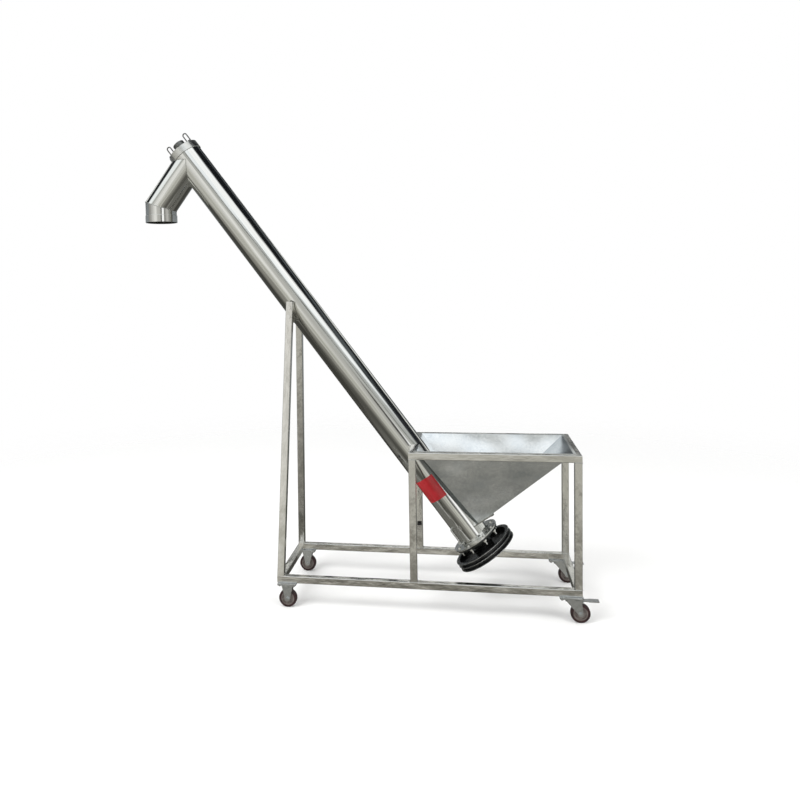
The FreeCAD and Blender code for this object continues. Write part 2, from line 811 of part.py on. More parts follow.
def bolted_plate(length, x, y, low, high):
    """Plate with a hole for each of its four studs."""
    plate = Part.makeBox(length, plate_width, high - low,
                         Vector(x - length / 2, y - plate_width / 2, low))
    plate = plate.makeFillet(6.0, edges_along(plate, ALONG_Z))
    for dx, dy in caster_stud_places(length):
        plate = plate.cut(upright(caster_stud_r + stud_clearance, low - 1, high + 1, x + dx, y + dy))
    return plate


def caster_studs(length, x, y):
    """Four studs set flush in the pad, with nuts under the caster's plate."""
    low = base_z - pad_thickness - caster_plate
    studs = []
    for dx, dy in caster_stud_places(length):
        place = Vector(x + dx, y + dy, 0)
        studs.append(join([
            upright(caster_stud_r, low - 8.0, base_z, place.x, place.y),
            hexagon(caster_nut_flats, place + ALONG_Z * low, ALONG_Z * -6.0)]))
    return studs


def fork_cheeks(outline, x, y, axle_x):
    """Two side plates of a fork, rounded at the axle and drilled for it."""
    cheeks = []
    axle_z = wheel_od / 2
    for side in (-1, 1):
        face_y = y + side * fork_gap / 2
        run = Vector(0, side * fork_sheet, 0)
        points = [Vector(x + dx, face_y, z) for dx, z in outline]
        start = Vector(axle_x, face_y, axle_z)
        cheek = join([prism(points, run), rod(fork_eye_r, start, start + run)])
        cheeks.append(cheek.cut(rod(axle_r + running_gap, start - run, start + run * 2)))
    return cheeks


def rigid_fork(y):
    """Plate and fork of a caster that doesn't turn."""
    high = base_z - pad_thickness
    low = high - caster_plate
    axle_z = wheel_od / 2
    outline = [(-34.0, low), (34.0, low), (fork_eye_r, axle_z), (-fork_eye_r, axle_z)]
    plate = bolted_plate(rigid_plate_length, rigid_x, y, low, high)
    bridge = Part.makeBox(68.0, fork_gap, caster_plate,
                          Vector(rigid_x - 34.0, y - fork_gap / 2, low - caster_plate))
    return join([plate, bridge] + fork_cheeks(outline, rigid_x, y, rigid_x))


def swivel_plate(y):
    """Fixed half of a swivel caster: plate, upper race and kingpin."""
    high = base_z - pad_thickness
    low = high - caster_plate
    race_low = low - race_height
    bridge_low = race_low - side_gap - caster_plate - bridge_thickness
    plate = bolted_plate(swivel_plate_length, swivel_x, y, low, high)
    race = upright(race_r, race_low, low, swivel_x, y)
    pin = upright(kingpin_r, bridge_low - side_gap - 6.0, race_low, swivel_x, y)
    head = upright(kingpin_r + 4.0, bridge_low - side_gap - 6.0, bridge_low - side_gap, swivel_x, y)
    return join([plate, race, pin, head])


def swivel_fork(y):
    """Turning half of a swivel caster: lower race, bridge and two cheeks."""
    race_low = base_z - pad_thickness - caster_plate - race_height
    bridge_high = race_low - side_gap - caster_plate
    bridge_low = bridge_high - bridge_thickness
    axle_z = wheel_od / 2
    outline = [(-30.0, bridge_high), (50.0, bridge_high),
               (swivel_offset + fork_eye_r, axle_z), (swivel_offset - fork_eye_r, axle_z)]
    cheeks = fork_cheeks(outline, swivel_x, y, swivel_x + swivel_offset)
    pivot = pedal_pivot(y)
    hole = rod(pedal_pin_r + running_gap, pivot - ALONG_Y * fork_gap, pivot + ALONG_Y * fork_gap)
    bridge = Part.makeBox(58.0, fork_gap, bridge_thickness,
                          Vector(swivel_x - 30.0, y - fork_gap / 2, bridge_low))
    race = upright(race_r - 4.0, bridge_high, bridge_high + caster_plate, swivel_x, y)
    bore = upright(kingpin_r + running_gap, bridge_low - 1, bridge_high + caster_plate + 1,
                   swivel_x, y)
    return join([bridge, race] + [cheek.cut(hole) for cheek in cheeks]).cut(bore)


def pedal_pivot(y):
    """Point on the axis of a brake pedal."""
    return Vector(swivel_x + pedal_pivot_x, y, base_z - pad_thickness - caster_plate - pedal_pivot_drop)


def brake_pedal(y):
    """Pressed pedal with its pivot pin: a boss, a brake shoe over the wheel and a foot tread."""
    pivot = pedal_pivot(y)
    half = fork_gap / 2 - 2.0
    boss = rod(pedal_boss_r, pivot - ALONG_Y * half, pivot + ALONG_Y * half)
    pin = rod(pedal_pin_r, pivot - ALONG_Y * (fork_gap / 2 + fork_sheet + 2.0),
              pivot + ALONG_Y * (fork_gap / 2 + fork_sheet + 2.0))
    reach = pedal_reach - pedal_pivot_x
    arm_low = 7.0
    arm = [(-3.0, 2.0), (30.0, arm_low), (reach, arm_low), (reach, arm_low + pedal_sheet),
           (28.0, arm_low + pedal_sheet), (-4.0, 5.5)]
    points = [pivot + Vector(dx, -half, dz) for dx, dz in arm]
    tread = Part.makeBox(54.0, pedal_tread, pedal_sheet,
                         pivot + Vector(reach - 54.0, -pedal_tread / 2, arm_low))
    tread = tread.makeFillet(6.0, edges_along(tread, ALONG_Z))
    shoe_z = wheel_od - pivot.z + 4.5
    shoe = Part.makeBox(20.0, 2 * half - 4.0, 6.0 - shoe_z, pivot + Vector(2.0, 2.0 - half, shoe_z))
    return join([prism(points, Vector(0, 2 * half, 0)), tread, boss, pin, shoe])


def wheel_hub(x, y):
    """Moulded wheel centre with a boss and a dished web."""
    z = wheel_od / 2
    boss_half = fork_gap / 2 - 1.0
    half = wheel_width / 2 - 1.0
    parts = [rod(hub_r, Vector(x, y - half, z), Vector(x, y + half, z)),
             rod(hub_boss_r, Vector(x, y - boss_half, z), Vector(x, y + boss_half, z))]
    hub = join(parts)
    for side in (-1, 1):
        face = Vector(x, y + side * half, z)
        dish = pipe(hub_r - 5.0, hub_boss_r, face, face - ALONG_Y * (side * hub_recess))
        hub = hub.cut(dish)
    return hub.cut(rod(axle_r + running_gap, Vector(x, y - boss_half - 1, z),
                       Vector(x, y + boss_half + 1, z)))


def wheel_tread(x, y):
    """Rounded tyre band on the hub."""
    z = wheel_od / 2
    half = wheel_width / 2
    band = rod(wheel_od / 2, Vector(x, y - half, z), Vector(x, y + half, z))
    rims = [edge for edge in band.Edges if edge.Curve.TypeId == "Part::GeomCircle"]
    band = band.makeFillet(6.0, rims)
    return band.cut(rod(hub_r + running_gap, Vector(x, y - half - 1, z), Vector(x, y + half + 1, z)))


def wheel_axle(x, y):
    """Bolt and nut through a fork."""
    z = wheel_od / 2
    reach = fork_gap / 2 + fork_sheet
    start, end = Vector(x, y - reach, z), Vector(x, y + reach, z)
    return join([rod(axle_r, start - ALONG_Y * 10.0, end),
                 hexagon(nut_flats, start, ALONG_Y * -7.0),
                 hexagon(nut_flats, end, ALONG_Y * 7.0)])


# Assembly

def build_nodes():
    """Every sub-part by name."""
    nodes = {}
    base = mitred_frame(0.0, base_length, base_z)
    top = mitred_frame(post_x, base_length, rim_z - stock)
    for name, tube in zip(("front", "right", "rear", "left"), base):
        nodes["base_rail_" + name] = tube
    for name, tube in zip(("front", "right", "rear"), top):
        nodes["top_rail_" + name] = tube
    nodes["top_rail_stubs"] = group([top[3].cut(barrel_envelope(weld_gap))])
    for side, depth in ((-1, "front"), (1, "rear")):
        for x, end in ((post_x + stock / 2, "left"), (base_length - stock / 2, "right")):
            nodes["post_" + depth + "_" + end] = square_tube(
                Vector(x, side * rail_y, base_top), Vector(x, side * rail_y, rim_z - stock))
        nodes["support_leg_" + depth] = support_leg(side)
    nodes["leg_brackets"] = group([leg_bracket(-1), leg_bracket(1)])
    nodes["leg_bolts"] = group([leg_bolt(side, drop) for side in (-1, 1)
                                for drop in leg_bolt_places])

    nodes["screw_barrel"] = screw_barrel()
    nodes["top_collar"] = top_collar()
    nodes["top_end_plate"] = top_end_plate()
    nodes["top_bearing"] = top_bearing()
    nodes["end_plate_bolts"] = plate_bolts()
    nodes["lifting_eyes"] = on_barrel(group([lifting_eye(-eye_offset), lifting_eye(eye_offset)]))
    nodes["discharge_branch"] = discharge_branch()
    nodes["discharge_spout"] = discharge_spout()
    nodes["lower_flange"] = lower_flange()
    nodes["lower_bearing"] = lower_bearing()
    nodes["flange_studs"] = on_barrel(group([flange_stud(point) for point in
                                             around(stud_count, stud_circle_r, 22.5)]))

    nodes["screw_shaft"] = screw_shaft()
    nodes["screw_flight"] = screw_flight()
    nodes["drive_pulley"] = drive_pulley()
    nodes["taper_bush"] = taper_bush()

    nodes["hopper"] = hopper()
    nodes["hopper_outlet_plate"] = hopper_outlet_plate()
    nodes["outlet_knobs"] = on_barrel(group([outlet_knob(point) for point in knob_points()]))
    nodes["label"] = label()
    nodes["door_hinge"] = door_hinge()
    nodes["clean_out_door"] = clean_out_door()
    nodes["door_handle"] = door_handle()
    nodes["door_catch"] = door_catch()

    pads, studs, rigid_axles = [], [], []
    for y, depth in ((-rail_y, "front"), (rail_y, "rear")):
        for x, length in ((rigid_x, rigid_plate_length), (swivel_x, swivel_plate_length)):
            pads.append(bolted_plate(length, x, y, base_z - pad_thickness, base_z))
            studs += caster_studs(length, x, y)
        nodes["rigid_fork_" + depth] = rigid_fork(y)
        rigid_axles.append(wheel_axle(rigid_x, y))
        nodes["swivel_plate_" + depth] = swivel_plate(y)
        nodes["swivel_fork_" + depth] = swivel_fork(y)
        nodes["swivel_axle_" + depth] = wheel_axle(swivel_x + swivel_offset, y)
        nodes["brake_pedal_" + depth] = brake_pedal(y)
        for x, end in ((rigid_x, "left"), (swivel_x + swivel_offset, "right")):
            nodes["wheel_hub_" + depth + "_" + end] = wheel_hub(x, y)
            nodes["wheel_tread_" + depth + "_" + end] = wheel_tread(x, y)
    nodes["caster_pads"] = group(pads)
    nodes["caster_studs"] = group(studs)
    nodes["rigid_axles"] = group(rigid_axles)
    return nodes


def main():
    nodes = build_nodes()
    middle = (mouth.x - ring_outer_r + swivel_x + pedal_reach) / 2
    os.makedirs("parts", exist_ok=True)
    for name, shape in nodes.items():
        shape.translate(Vector(-middle, 0, 0))
        shape.exportStep("parts/" + name + ".step")
        print(name, len(shape.Solids), shape.isValid(), round(shape.Volume / 1000.0, 2))
    print("nodes", len(nodes), "shifted by", round(-middle, 3))


main()
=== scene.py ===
# %% [markdown]
# A grain auger is a screw in an inclined tube: grain is tipped into the hopper, the screw lifts
# it, and it drops out of the spout at the top. The machine's solids come ready made and in place,
# with the floor at height zero and the machine's front towards minus Y. So nothing is modelled
# twice: this script gives each solid its real finish, adds the welds, and lights the scene. All
# lengths are in metres.

import json
import math

import bmesh
import bpy
from mathutils import Matrix, Vector
from mathutils.geometry import intersect_line_line


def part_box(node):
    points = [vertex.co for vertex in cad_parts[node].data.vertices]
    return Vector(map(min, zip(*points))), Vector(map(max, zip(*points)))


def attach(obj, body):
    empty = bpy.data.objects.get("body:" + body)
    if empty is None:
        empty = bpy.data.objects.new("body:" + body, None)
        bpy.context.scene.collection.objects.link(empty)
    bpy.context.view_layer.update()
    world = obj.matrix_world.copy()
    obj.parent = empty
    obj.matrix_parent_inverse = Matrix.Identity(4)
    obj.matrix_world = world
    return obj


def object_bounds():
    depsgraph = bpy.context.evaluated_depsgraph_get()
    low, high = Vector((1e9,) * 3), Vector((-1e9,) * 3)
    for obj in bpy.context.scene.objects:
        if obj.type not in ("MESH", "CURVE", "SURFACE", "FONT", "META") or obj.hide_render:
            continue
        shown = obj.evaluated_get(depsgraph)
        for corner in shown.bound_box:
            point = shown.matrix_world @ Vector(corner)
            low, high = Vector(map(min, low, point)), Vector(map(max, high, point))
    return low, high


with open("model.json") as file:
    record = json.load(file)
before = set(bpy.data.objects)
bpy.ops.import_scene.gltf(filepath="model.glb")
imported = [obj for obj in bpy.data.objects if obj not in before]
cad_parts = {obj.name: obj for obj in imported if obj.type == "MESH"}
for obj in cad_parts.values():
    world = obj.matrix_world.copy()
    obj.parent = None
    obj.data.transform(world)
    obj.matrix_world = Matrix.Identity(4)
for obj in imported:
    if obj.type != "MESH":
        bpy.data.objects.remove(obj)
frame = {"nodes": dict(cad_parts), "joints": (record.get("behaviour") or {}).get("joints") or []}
nodes = frame["nodes"]
solid_low, solid_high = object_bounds()
print("machine", len(nodes), "parts,", [round(v, 3) for v in solid_high - solid_low], "metres")

# %% [markdown]
# Most of the machine leans with its barrel, so the barrel's axis is the ruler for what follows.
# It could be typed in as an angle, but then it would be wrong as soon as the barrel is changed.
# The screw turns about the same axis, so that joint says where it runs, and the parts' own points
# say how far up it they sit.

# %% Find the barrel's axis and measure along it
screw_joint = next(joint for joint in frame["joints"] if joint["name"] == "screw_turn")
foot = Vector(screw_joint["pos_m"])
up_barrel = Vector(screw_joint["axis"]).normalized()
across = Vector((0.0, 1.0, 0.0))
upper_side = across.cross(up_barrel).normalized()
barrel_low, barrel_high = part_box("screw_barrel")
barrel_radius = (barrel_high[1] - barrel_low[1]) / 2


def rise_span(name):
    """How far up the barrel a part starts and ends, in metres from the barrel's foot."""
    rises = [(vertex.co - foot).dot(up_barrel) for vertex in nodes[name].data.vertices]
    return min(rises), max(rises)


barrel_run = [round(rise, 3) for rise in rise_span("screw_barrel")]
print("barrel radius", round(barrel_radius, 4), "runs", barrel_run)

# %% [markdown]
# The camera stands about twice as high as the hopper's rim, in front of the machine and to the
# right of its middle. It looks slightly down and to the left. Its lens is shifted, as when a wider
# picture is cropped off centre. Turning it further instead would make the posts lean together.
# The view transform is Standard, because a filmic one turns a white backdrop grey.

# %% Camera
camera_place = Vector((0.6140, -4.2186, 1.7788))
camera_turn_left = math.radians(10.162)
camera_tilt = math.radians(-3.506)
camera_roll = math.radians(-1.260)
film_width_mm = 36.0
lens_mm = 33.58
lens_shift = (0.0814, -0.0856)

camera_data = bpy.data.cameras.new("camera")
camera_data.sensor_width = film_width_mm
camera_data.lens = lens_mm
camera_data.shift_x, camera_data.shift_y = lens_shift
camera = bpy.data.objects.new("camera", camera_data)
bpy.context.scene.collection.objects.link(camera)
camera.matrix_world = (Matrix.Translation(camera_place)
                       @ Matrix.Rotation(camera_turn_left, 4, "Z")
                       @ Matrix.Rotation(math.pi / 2 + camera_tilt, 4, "X")
                       @ Matrix.Rotation(camera_roll, 4, "Z"))
bpy.context.scene.camera = camera
bpy.context.scene.view_settings.view_transform = "Standard"
print("camera at", [round(v, 2) for v in camera_place], "lens", lens_mm, "mm")

# %% [markdown]
# Materials are small node trees. One function adds a node with its settings and its links, and
# one turns the usual screen colour codes into the linear values that the renderer works with.
# Patterns are noise in the object's own space, in real sizes: unlike an image they need no
# unwrapping, don't repeat, and can be stretched along a tube. On a worn or worked surface one
# pattern shows twice, because where the metal is a different grey its roughness differs as well.

# %% Helpers for materials
upright = Vector((0.0, 0.0, 1.0))


def linear(code):
    """Linear red, green, blue and alpha of a screen colour such as "#C0C0C0"."""
    parts = [int(code[k:k + 2], 16) / 255 for k in (1, 3, 5)]
    return [p / 12.92 if p <= 0.04045 else ((p + 0.055) / 1.055) ** 2.4
            for p in parts] + [1.0]


def add_node(tree, kind, inputs=None, **settings):
    """Add a node. An input is a plain value, or another node's output to link from."""
    made = tree.nodes.new(kind)
    for name, value in settings.items():
        setattr(made, name, value)
    for name, value in (inputs or {}).items():
        if isinstance(value, bpy.types.NodeSocket):
            tree.links.new(value, made.inputs[name])
        else:
            made.inputs[name].default_value = value
    return made


def new_finish(name):
    """An empty material, its node tree and its surface shader."""
    material = bpy.data.materials.new(name)
    material.use_nodes = True
    shader = material.node_tree.nodes["Principled BSDF"]
    return material, material.node_tree, shader


def grain(tree, sizes, along=upright, detail=2.0, seed=0.0):
    """Soft pattern from 0 to 1 whose grains have the given sizes in metres, the third `along`."""
    place = add_node(tree, "ShaderNodeTexCoord").outputs["Object"]
    turn = along.to_track_quat("Z", "Y").to_euler()
    space = add_node(tree, "ShaderNodeMapping",
                     {"Vector": place, "Rotation": turn, "Scale": sizes},
                     vector_type="TEXTURE").outputs["Vector"]
    return add_node(tree, "ShaderNodeTexNoise",
                    {"Vector": space, "Scale": 1.0, "Detail": detail, "W": seed},
                    noise_dimensions="4D").outputs["Fac"]


def mix_colours(tree, share, first, second):
    """Colour that runs from the first to the second as share goes from 0 to 1."""
    return add_node(tree, "ShaderNodeMix", {0: share, 6: first, 7: second},
                    data_type="RGBA").outputs[2]


def dress(tree, shader, pattern, colours, roughness, ends=(0.3, 0.7)):
    """Let one pattern drive colour and roughness, from its low end to its high end."""
    share = add_node(tree, "ShaderNodeMapRange",
                     {"Value": pattern, "From Min": ends[0], "From Max": ends[1]}).outputs["Result"]
    tint = mix_colours(tree, share, linear(colours[0]), linear(colours[1]))
    rough = add_node(tree, "ShaderNodeMapRange",
                     {"Value": share, "To Min": roughness[0], "To Max": roughness[1]})
    tree.links.new(tint, shader.inputs["Base Color"])
    tree.links.new(rough.outputs["Result"], shader.inputs["Roughness"])
    return tint


def relief(tree, shader, *layers):
    """Raise the surface by layers, each a pattern and its depth in metres."""
    below = None
    for pattern, depth in layers:
        inputs = {"Height": pattern, "Distance": depth}
        if below:
            inputs["Normal"] = below
        below = add_node(tree, "ShaderNodeBump", inputs).outputs["Normal"]
    tree.links.new(below, shader.inputs["Normal"])


finishes = {}
print("helpers ready")

# %% [markdown]
# The frame is welded from stainless square tube, 38 mm across, polished but not perfectly flat, so
# its mirror image of the room breaks into patches. Those dents could be modelled, but a bump
# pattern a few millimetres deep over 60 to 130 mm bends the reflections just as well. A belt
# leaves fine scratches along each tube, which blur that image a little. They are a tenth of a
# millimetre apart, too fine to show, so here they are 0.8 mm. Each run of tube needs its own copy
# of the finish, turned along its length.

# %% Polished stainless square tube
scratch = (0.0008, 0.0008, 0.09)
scratch_depth = 0.00005
dent = (0.06, 0.06, 0.13)
dent_depth = 0.0045


def square_tube(name, along):
    """Tube metal whose dents and scratches run along the given direction."""
    material, tree, shader = new_finish(name)
    scratches = grain(tree, scratch, along, detail=3.0)
    dents = grain(tree, dent, along, detail=3.0, seed=4.0)
    shader.inputs["Metallic"].default_value = 1.0
    dress(tree, shader, dents, colours=("#D0CFCA", "#EBEAE7"), roughness=(0.1, 0.24))
    relief(tree, shader, (dents, dent_depth), (scratches, scratch_depth))
    return material


tube_runs = {
    "along_frame": Vector((1.0, 0.0, 0.0)),
    "across_frame": across,
    "upright": upright,
}
for run, direction in tube_runs.items():
    finishes["tube_" + run] = square_tube("stainless_square_tube_" + run, direction)
print("square tube in", len(tube_runs), "directions")

# %% [markdown]
# The barrel, its branch and its spout are polished stainless sheet, rolled into tubes. A mirror
# tube squeezes the whole room into long streaks that run along it. Painting the streaks on would
# look right from one side only, so the finish is nearly a mirror and the room does the rest.
# Polishing leaves faint lengthwise lines, 3 mm wide and nearly a metre long, and the rolled sheet
# is slightly wavy, so the streaks wander. The branch leans almost as far as the barrel, but down
# and to the left.

# %% Polished stainless sheet
polish_line = (0.003, 0.003, 0.8)
polish_line_depth = 0.00012
rolling_wave = (0.07, 0.07, 0.5)
rolling_wave_depth = 0.0026


def rolled_sheet(name, along):
    """Sheet metal whose waves and polishing lines run along the given direction."""
    material, tree, shader = new_finish(name)
    lines = grain(tree, polish_line, along, detail=3.0)
    waves = grain(tree, rolling_wave, along, detail=2.0, seed=2.0)
    shader.inputs["Metallic"].default_value = 1.0
    dress(tree, shader, lines, colours=("#CFD0CD", "#ECEDEB"), roughness=(0.05, 0.12))
    relief(tree, shader, (waves, rolling_wave_depth), (lines, polish_line_depth))
    return material


branch_slope = math.radians(52.4)
down_branch = Vector((-math.cos(branch_slope), 0.0, -math.sin(branch_slope)))
finishes["rolled_barrel"] = rolled_sheet("polished_stainless_barrel", up_barrel)
finishes["rolled_branch"] = rolled_sheet("polished_stainless_branch", down_branch)
finishes["rolled_spout"] = rolled_sheet("polished_stainless_spout", upright)
print("polished sheet in 3 directions")

# %% [markdown]
# Flanges, end plates, hinges and the door's latch are stainless plate with a satin finish. It
# has no direction, so it needs no turning: a fine 0.6 mm grain blurs the reflections evenly. The
# round bar of the lifting eyes is pickled in acid after it is bent and never polished, which
# leaves it a dull mid grey. Both are the same kind of surface, so one function makes them.

# %% Satin stainless plate and pickled bar
def plain_metal(name, colours, roughness, smear, pit, depth):
    """A metal with smears of one size over fine pits of another, which are `depth` deep."""
    material, tree, shader = new_finish(name)
    smears = grain(tree, (smear, smear, smear), detail=3.0, seed=3.0)
    shader.inputs["Metallic"].default_value = 1.0
    dress(tree, shader, smears, colours, roughness)
    relief(tree, shader, (grain(tree, (pit, pit, pit)), depth))
    return material


finishes["satin_stainless"] = plain_metal(
    "satin_stainless_plate", colours=("#C8C9C5", "#DEDFDD"), roughness=(0.2, 0.3),
    smear=0.05, pit=0.0006, depth=0.00001)
finishes["pickled_bar"] = plain_metal(
    "pickled_stainless_bar", colours=("#5E605F", "#8A8C8A"), roughness=(0.35, 0.5),
    smear=0.01, pit=0.0006, depth=0.00004)
print("satin plate and pickled bar ready")

# %% [markdown]
# Small hardware is bright turned steel, while the casters are pressed from zinc plated strip, a
# little blue, with faint blotches where the plating bath ran off. The screw is bare mild steel,
# which grain keeps scoured but never bright.

# %% Bright fasteners, zinc plated casters and the bare screw
finishes["bright_fasteners"] = plain_metal(
    "bright_turned_steel", colours=("#CFCFCB", "#EEEEEC"), roughness=(0.1, 0.22),
    smear=0.012, pit=0.0015, depth=0.00004)
finishes["zinc_plated_steel"] = plain_metal(
    "zinc_plated_strip", colours=("#C9CCCE", "#D9DCDE"), roughness=(0.2, 0.28),
    smear=0.02, pit=0.0015, depth=0.00001)
finishes["screw_steel"] = plain_metal(
    "mild_steel_screw", colours=("#77756F", "#A9A8A4"), roughness=(0.25, 0.5),
    smear=0.012, pit=0.0015, depth=0.00004)
print("three steels ready")

# %% [markdown]
# The hopper is folded from galvanised sheet. Zinc freezes in crystals about 12 mm across, each a
# slightly different grey, so they are the cells of a Voronoi pattern. Broad cloudy patches lie
# over them. Large flat sheet also bows, which bends its blurred reflections into wide curves.
# The long right wall carries painted shade: every face that points to the left gets a darker grey.
# The part needn't be split for that: it is the only wall whose inner face points to the left, so
# the way a face points tells it apart. The left wall's outside points that way too and is shaded as
# well, but the barrel stands in front of it.

# %% Galvanised hopper sheet
crystal = 0.012
crystal_depth = 0.00003
cloud = (0.16, 0.16, 0.12)
cloud_share = 0.85
bow = (0.34, 0.4, 0.26)
bow_depth = 0.035
clean_zinc = ("#D3D8DB", "#F4F6F6")
# The darker grey is painted shade, laid on faces that point to the left.
scoured_zinc = "#A9B0B4"
scoured_pointing = (-0.5, -0.6)

material, tree, shader = new_finish("galvanised_hopper_sheet")
place = add_node(tree, "ShaderNodeTexCoord").outputs["Object"]
crystals = add_node(tree, "ShaderNodeTexVoronoi",
                    {"Vector": place, "Scale": 1.0 / crystal}).outputs["Color"]
crystal_grey = add_node(tree, "ShaderNodeRGBToBW", {"Color": crystals}).outputs["Val"]
clouds = grain(tree, cloud, detail=3.0, seed=1.0)
mottle = add_node(tree, "ShaderNodeMix", {0: cloud_share, 2: crystal_grey, 3: clouds}).outputs[0]
shader.inputs["Metallic"].default_value = 1.0
clean = dress(tree, shader, mottle, clean_zinc, roughness=(0.16, 0.27), ends=(0.3, 0.65))

# Painted shade: faces that point to the left turn the darker grey.
normal = add_node(tree, "ShaderNodeNewGeometry").outputs["Normal"]
rightward = add_node(tree, "ShaderNodeSeparateXYZ", {"Vector": normal}).outputs["X"]
scoured = add_node(tree, "ShaderNodeMapRange",
                   {"Value": rightward, "From Min": scoured_pointing[0],
                    "From Max": scoured_pointing[1]})
worn = mix_colours(tree, scoured.outputs["Result"], clean, linear(scoured_zinc))
tree.links.new(worn, shader.inputs["Base Color"])
bows = grain(tree, bow, detail=1.0, seed=7.0)
relief(tree, shader, (bows, bow_depth), (crystal_grey, crystal_depth))
finishes["hopper_sheet"] = material
print("hopper sheet has crystals", crystal * 1000, "mm across")

# %% [markdown]
# The rest isn't metal, so light enters it a little. All of these refract at about 1.5, and differ
# in colour, gloss and grain. The belt pulley and the bearing housing are iron castings under black
# enamel, which is glossy but dulled by dust and has a soft orange peel 2 mm wide. The housing sits
# under the flange, so its near black is partly painted shade from there. Caster treads are moulded
# polyurethane, a dark maroon with a scuffed running face, on hubs of nylon. The knobs under the
# hopper are black phenolic, a hard plastic.

# %% Enamels and moulded plastics
plastic_ior = 1.5


def coated(name, colours, roughness, smear, pit, depth):
    """A paint or plastic with smears of one size over a grain of another, which is `depth` deep."""
    material, tree, shader = new_finish(name)
    shader.inputs["IOR"].default_value = plastic_ior
    smears = grain(tree, (smear, smear, smear), detail=4.0, seed=6.0)
    dress(tree, shader, smears, colours, roughness, ends=(0.4, 0.75))
    relief(tree, shader, (grain(tree, (pit, pit, pit), detail=1.0), depth))
    return material


finishes["pulley_paint"] = coated(
    "black_enamel_pulley", colours=("#0B0C0D", "#2A2B2B"), roughness=(0.2, 0.42),
    smear=0.05, pit=0.002, depth=0.00012)
# The housing's near black holds its enamel and also painted shade from under the flange.
finishes["housing_paint"] = coated(
    "green_black_enamel_housing", colours=("#101311", "#232725"), roughness=(0.28, 0.42),
    smear=0.05, pit=0.002, depth=0.00012)
finishes["tread_polyurethane"] = coated(
    "maroon_polyurethane_tread", colours=("#221213", "#3B2021"), roughness=(0.35, 0.6),
    smear=0.015, pit=0.0012, depth=0.00007)
finishes["hub_nylon"] = coated(
    "brown_grey_nylon_hub", colours=("#5D5551", "#837B76"), roughness=(0.35, 0.5),
    smear=0.02, pit=0.001, depth=0.00006)
finishes["knob_phenolic"] = coated(
    "black_phenolic_knob", colours=("#0D0D0D", "#242322"), roughness=(0.25, 0.4),
    smear=0.015, pit=0.0015, depth=0.00009)
print("enamels and moulded parts ready")

# %% [markdown]
# The label is red vinyl film under a clear gloss laminate, which is the shader's coat. It is left
# blank. Small creases from laying it on the tube catch the light.

# %% Red vinyl label
label_film = coated("red_vinyl_label", colours=("#9C0813", "#B3121F"), roughness=(0.32, 0.45),
                    smear=0.04, pit=0.02, depth=0.0004)
laminate = label_film.node_tree.nodes["Principled BSDF"]
laminate.inputs["Coat Weight"].default_value = 0.6
laminate.inputs["Coat Roughness"].default_value = 0.08
finishes["label_film"] = label_film
print("label has a coat of", laminate.inputs["Coat Weight"].default_value)

# %% [markdown]
# The record gives every part a finish by name, so nobody has to list sixty parts here. Most names
# map straight to a material. Only tubes and polished sheet need to know which way they run: a rail
# or a post runs along its longest side, and the two support legs lean, so theirs is worked out.

# %% Lay the finishes on the parts
rail_low, rail_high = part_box("base_rail_front")
tube_width = rail_high[2] - rail_low[2]
leg_low, leg_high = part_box("support_leg_front")
leg_run = Vector([high - low for low, high in zip(leg_low, leg_high)])
leg_sides = {"support_leg_front": 1.0, "support_leg_rear": -1.0}
unpolished = ("lifting_eyes", "end_plate_bolts", "top_bearing")
for name, side in leg_sides.items():
    direction = Vector((leg_run.x - tube_width, side * (leg_run.y - tube_width), leg_run.z))
    finishes[name] = square_tube("stainless_square_tube_" + name, direction.normalized())


def finish_for(name, slot):
    """The material for a part, from the finish that the record names and the way the part runs."""
    if name in leg_sides:
        return finishes[name]
    if slot == "brushed_stainless":
        size = [high - low for low, high in zip(*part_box(name))]
        longest = size.index(max(size))
        return finishes["tube_" + ("along_frame", "across_frame", "upright")[longest]]
    if slot == "polished_stainless":
        run = {"discharge_branch": "branch", "discharge_spout": "spout"}.get(name, "barrel")
        return finishes["rolled_" + run]
    return finishes["pickled_bar" if name in unpolished else slot]


for name, part in nodes.items():
    for holder in part.material_slots:
        holder.material = finish_for(name, holder.material.name)
print("finished", len(nodes), "parts with", len(finishes), "materials")

# %% [markdown]
# The tubes are joined by welds. A hand laid weld is a row of overlapping drops, so it shows as a
# bead about 4 mm wide with a ripple every 3 mm. A curve with a round bevel would give the bead but
# not the ripple, so each one here is a thin tube swept along the joint in mesh code, which swells
# and narrows once a drop. Half of it is sunk in the metal.

# %% Sweep a bead along a joint
drop_spacing = 0.003
steps_per_drop = 4
bead_sides = 8


def bead(name, path, heart, radius, swell, body, slot, closed=True):
    """A rippled tube along a path of points, facing away from its heart, with a slot's finish."""
    shape = bmesh.new()
    rings = []
    for k, point in enumerate(path):
        before, after = path[k - 1], path[(k + 1) % len(path)]
        if not closed:
            before, after = path[max(k - 1, 0)], path[min(k + 1, len(path) - 1)]
        forward = (after - before).normalized()
        side = forward.cross(point - heart).normalized()
        outward = side.cross(forward)
        thick = radius * (1.0 + swell * math.sin(2.0 * math.pi * k / steps_per_drop))
        turns = [2.0 * math.pi * n / bead_sides for n in range(bead_sides)]
        spokes = [outward * math.cos(turn) + side * math.sin(turn) for turn in turns]
        rings.append([shape.verts.new(point + spoke * thick) for spoke in spokes])
    for k in range(len(rings) if closed else len(rings) - 1):
        ring, following = rings[k], rings[(k + 1) % len(rings)]
        for n in range(bead_sides):
            m = (n + 1) % bead_sides
            shape.faces.new((ring[n], ring[m], following[m], following[n])).smooth = True
    bmesh.ops.recalc_face_normals(shape, faces=shape.faces)
    mesh = bpy.data.meshes.new(name)
    shape.to_mesh(mesh)
    shape.free()
    mesh.materials.append(finishes[slot])
    made = bpy.data.objects.new(name, mesh)
    bpy.context.scene.collection.objects.link(made)
    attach(made, body)


